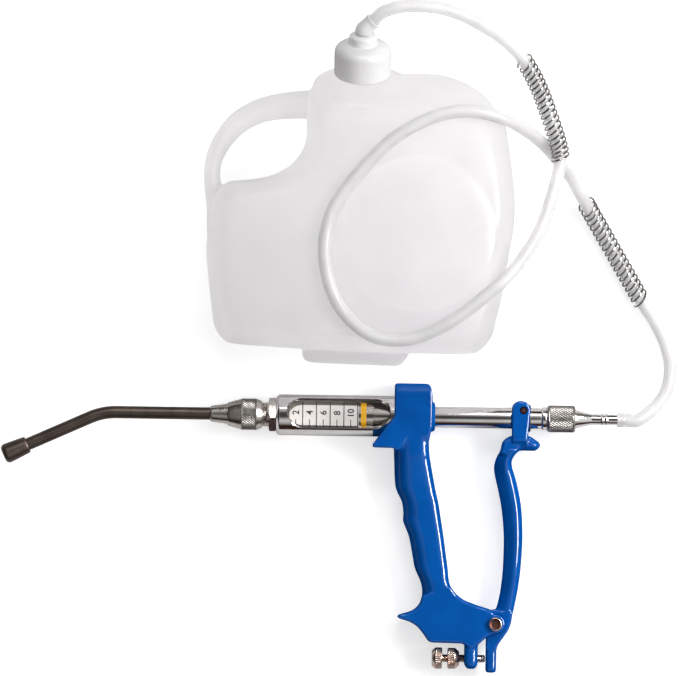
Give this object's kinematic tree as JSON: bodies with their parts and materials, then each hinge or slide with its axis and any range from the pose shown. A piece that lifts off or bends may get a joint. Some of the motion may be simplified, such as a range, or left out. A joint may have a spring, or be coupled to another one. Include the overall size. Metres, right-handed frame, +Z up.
{
  "type": "livestock drencher",
  "caption": "Drench gun with a sight-glass barrel, bent nozzle, squeeze lever and dose screw, on a spring-guarded hose from a shoulder can.",
  "frame": {"origin": "middle of the can's flat back, on the surface that everything lies on", "axes": "+X along the gun's barrel from nozzle to hose, +Y towards the can's mouth, +Z up from the surface"},
  "size_m": [0.4187, 0.4159, 0.0906],
  "materials": {
    "blue_enamel": "gloss enamel on a casting",
    "chrome_plate": "polished plate",
    "nickel_plate": "dull nickel plate",
    "bright_steel": "turned steel",
    "sight_glass": "clear glass",
    "black_rubber": "moulded",
    "yellow_seal": "moulded",
    "milky_plastic": "blow moulded, translucent",
    "clear_hose": "extruded, translucent"
  },
  "bodies": {
    "base": {"grip_frame": "blue_enamel", "barrel": "chrome_plate", "glass_cylinder": "sight_glass", "front_gasket": "black_rubber", "rear_gasket": "black_rubber", "guide_bush": "bright_steel", "outlet_valve_body": "nickel_plate", "outlet_valve_spring": "bright_steel", "lever_pivot_pin": "bright_steel", "lever_spring": "bright_steel", "can_back_shell": "milky_plastic", "can_front_shell": "milky_plastic", "can_back_shoulder": "milky_plastic", "can_front_shoulder": "milky_plastic", "can_handle": "milky_plastic", "can_tower": "milky_plastic", "cap_spout": "milky_plastic", "hose_main": "clear_hose", "hose_spring_upper": "bright_steel", "hose_spring_lower": "bright_steel"},
    "nozzle": {"nozzle_pipe": "nickel_plate", "nozzle_tip": "nickel_plate", "nozzle_ferrule": "nickel_plate", "nozzle_washer": "black_rubber"},
    "nozzle_nut": {"nozzle_nut": "nickel_plate"},
    "outlet_valve": {"outlet_valve_ball": "bright_steel"},
    "lever": {"lever": "blue_enamel"},
    "plunger": {"plunger_tube": "chrome_plate", "yoke_collar": "chrome_plate", "trunnion_pins": "bright_steel", "piston_body": "chrome_plate", "piston_seal": "yellow_seal", "piston_nut": "chrome_plate", "inlet_valve_spring": "bright_steel", "coupling_adaptor": "chrome_plate", "connector_washer": "black_rubber", "hose_connector": "chrome_plate", "hose_tail": "clear_hose"},
    "inlet_valve": {"inlet_valve_ball": "bright_steel"},
    "coupling_nut": {"coupling_nut": "nickel_plate"},
    "dose_screw": {"dose_rod": "bright_steel"},
    "dose_knob": {"dose_knob": "bright_steel"},
    "dose_lock_nut": {"dose_lock_nut": "bright_steel"},
    "can_cap": {"can_cap": "milky_plastic", "cap_gasket": "black_rubber"}
  },
  "joints": [
    {"name": "lever_squeeze", "type": "hinge", "parent": "base", "child": "lever", "pos_m": [0.0866, -0.24898, 0.0145], "axis": [0, 0, 1], "range_deg": [0, 18.2], "stiffness_Nm_per_rad": 0.35, "springref_deg": -20.05, "deforming": ["lever_spring"]},
    {"name": "plunger_stroke", "type": "slide", "parent": "base", "child": "plunger", "axis": [-1, 0, 0], "range_m": [0, 0.0428], "deforming": ["hose_tail"]},
    {"name": "nozzle_swivel", "type": "hinge", "parent": "base", "child": "nozzle", "pos_m": [-0.0779, -0.1213, 0.0145], "axis": [1, 0, 0], "range_deg": [-180, 0]},
    {"name": "nozzle_nut_turn", "type": "hinge", "parent": "base", "child": "nozzle_nut", "pos_m": [-0.0679, -0.1213, 0.0145], "axis": [-1, 0, 0], "range_deg": [0, 360]},
    {"name": "outlet_valve_lift", "type": "slide", "parent": "base", "child": "outlet_valve", "axis": [-1, 0, 0], "range_m": [0, 0.0015], "stiffness_N_per_m": 60, "springref_m": -0.003, "deforming": ["outlet_valve_spring"]},
    {"name": "inlet_valve_lift", "type": "slide", "parent": "plunger", "child": "inlet_valve", "axis": [-1, 0, 0], "range_m": [0, 0.0015], "stiffness_N_per_m": 60, "springref_m": -0.003, "deforming": ["inlet_valve_spring"]},
    {"name": "coupling_nut_turn", "type": "hinge", "parent": "plunger", "child": "coupling_nut", "pos_m": [0.1221, -0.1213, 0.0145], "axis": [1, 0, 0], "range_deg": [0, 360]},
    {"name": "dose_screw_feed", "type": "slide", "parent": "base", "child": "dose_screw", "axis": [-1, 0, 0], "range_m": [0, 0.0016]},
    {"name": "dose_knob_turn", "type": "hinge", "parent": "dose_screw", "child": "dose_knob", "pos_m": [0.0501, -0.27078, 0.0145], "axis": [-1, 0, 0], "range_deg": [0, 721]},
    {"name": "lock_nut_turn", "type": "hinge", "parent": "base", "child": "dose_lock_nut", "pos_m": [0.0601, -0.27078, 0.0145], "axis": [-1, 0, 0], "range_deg": [0, 360]},
    {"name": "cap_turn", "type": "hinge", "parent": "base", "child": "can_cap", "pos_m": [-0.001, 0.06194, 0.041], "axis": [0, 0.9063, 0.4226], "range_deg": [0, 360]}
  ],
  "couplings": [
    {"joint": "plunger_stroke", "follows": "lever_squeeze", "m_per_rad": 0.13408},
    {"joint": "dose_knob_turn", "follows": "dose_screw_feed", "rad_per_m": 7854}
  ]
}
